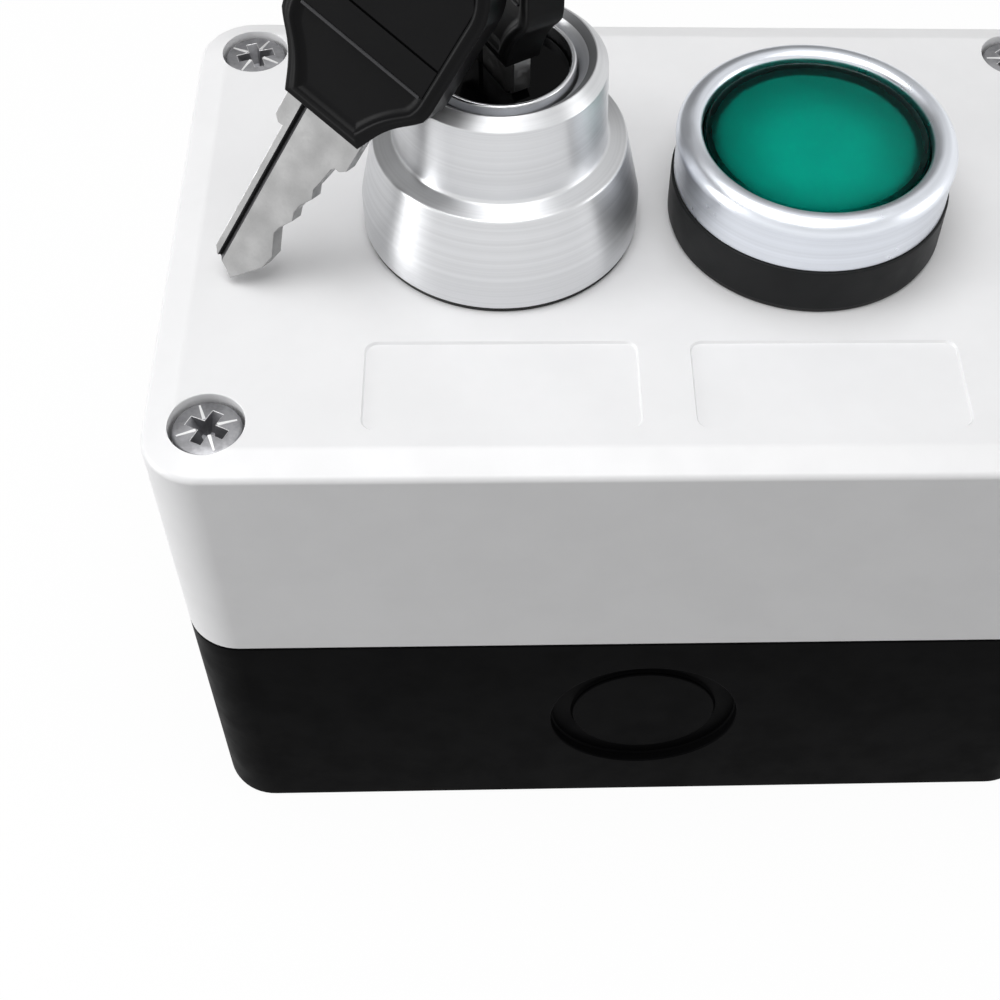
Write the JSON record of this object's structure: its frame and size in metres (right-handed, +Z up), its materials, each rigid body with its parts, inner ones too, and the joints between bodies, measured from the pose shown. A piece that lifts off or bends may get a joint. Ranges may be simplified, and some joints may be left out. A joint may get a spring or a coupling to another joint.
{
  "type": "pushbutton switch",
  "caption": "Two-hole control box with a key switch in a two-tier metal collar, a spare key, and a flush lit pushbutton with a chrome bezel.",
  "frame": {"origin": "under the middle of the box, on the face it rests on", "axes": "+X along the box from the key switch to the pushbutton, +Y away from the label recesses, +Z up out of the lid"},
  "size_m": [0.101, 0.068, 0.1114],
  "materials": {
    "white_abs": "moulded, light sheen",
    "black_abs": "moulded, satin",
    "black_gloss": "moulded, polished",
    "rubber": "matt",
    "zinc_steel": "zinc plated",
    "satin_aluminium": "satin turned",
    "chrome_ring": "plated",
    "lens_green": "clear tinted, polished",
    "diffuser": "translucent",
    "brass": "bare",
    "silver_contact": "silver plated",
    "block_grey": "moulded",
    "open_green": "moulded",
    "closed_red": "moulded",
    "nickel_silver": "nickel plated, milled",
    "lamp": "clear tinted"
  },
  "bodies": {
    "root": {"base": "black_abs", "lid": "white_abs", "lid_seal": "rubber", "lid_screws": "zinc_steel", "key_gasket": "rubber", "key_collar": "satin_aluminium", "key_body": "black_abs", "key_fixing_collar": "zinc_steel", "key_clamp_screws": "zinc_steel", "lock_sleeve": "chrome_ring", "button_gasket": "rubber", "button_body": "black_abs", "button_fixing_collar": "zinc_steel", "button_clamp_screws": "zinc_steel", "button_bezel": "chrome_ring", "button_spring": "zinc_steel", "lamp_holder": "block_grey", "lamp": "lamp", "key_no_housing": "block_grey", "key_no_spring": "zinc_steel", "key_no_contacts": "brass", "key_no_terminals": "zinc_steel", "key_nc_housing": "block_grey", "key_nc_spring": "zinc_steel", "key_nc_contacts": "brass", "key_nc_terminals": "zinc_steel", "button_no_housing": "block_grey", "button_no_spring": "zinc_steel", "button_no_contacts": "brass", "button_no_terminals": "zinc_steel", "button_nc_housing": "block_grey", "button_nc_spring": "zinc_steel", "button_nc_contacts": "brass", "button_nc_terminals": "zinc_steel"},
    "key_no_carrier": {"key_no_plunger": "open_green", "key_no_bridge": "silver_contact"},
    "key_nc_carrier": {"key_nc_plunger": "closed_red", "key_nc_bridge": "silver_contact"},
    "button_no_carrier": {"button_no_plunger": "open_green", "button_no_bridge": "silver_contact"},
    "button_nc_carrier": {"button_nc_plunger": "closed_red", "button_nc_bridge": "silver_contact"},
    "button_cap": {"button_lens": "lens_green", "button_diffuser": "diffuser", "button_plunger": "black_abs"},
    "lock_rotor": {"lock_plug": "brass", "lock_face_cap": "black_gloss", "lock_wafers": "brass", "lock_cam": "black_abs"},
    "lock_key": {"key_blade": "nickel_silver", "key_head": "black_abs"},
    "spare_key": {"spare_key_blade": "nickel_silver", "spare_key_head": "black_abs"}
  },
  "joints": [
    {"name": "button_press", "type": "slide", "parent": "root", "child": "button_cap", "axis": [0, 0, -1], "range_m": [0, 0.004], "stiffness_N_per_m": 350, "springref_m": -0.004, "deforming": ["button_spring"]},
    {"name": "button_no_press", "type": "slide", "parent": "root", "child": "button_no_carrier", "axis": [0, 0, -1], "range_m": [0, 0.004], "deforming": ["button_no_spring"]},
    {"name": "button_nc_press", "type": "slide", "parent": "root", "child": "button_nc_carrier", "axis": [0, 0, -1], "range_m": [0, 0.004], "deforming": ["button_nc_spring"]},
    {"name": "key_turn", "type": "hinge", "parent": "root", "child": "lock_rotor", "pos_m": [-0.0161, 0.00075, 0.084], "axis": [0, 0, 1], "range_deg": [0, 45]},
    {"name": "key_no_press", "type": "slide", "parent": "root", "child": "key_no_carrier", "axis": [0, 0, -1], "range_m": [0, 0.004], "deforming": ["key_no_spring"]},
    {"name": "key_nc_press", "type": "slide", "parent": "root", "child": "key_nc_carrier", "axis": [0, 0, -1], "range_m": [0, 0.004], "deforming": ["key_nc_spring"]},
    {"name": "key_withdraw", "type": "slide", "parent": "lock_rotor", "child": "lock_key", "axis": [0, 0, 1], "range_m": [0, 0.02]},
    {"name": "spare_key_lift", "type": "slide", "parent": "root", "child": "spare_key", "axis": [-0.28, -0.28, 0.9183], "range_m": [0, 0.03]}
  ],
  "couplings": [
    {"joint": "button_no_press", "follows": "button_press", "ratio": 1},
    {"joint": "button_nc_press", "follows": "button_press", "ratio": 1},
    {"joint": "key_no_press", "follows": "key_turn", "m_per_rad": 0.005092},
    {"joint": "key_nc_press", "follows": "key_turn", "m_per_rad": 0.005092}
  ]
}
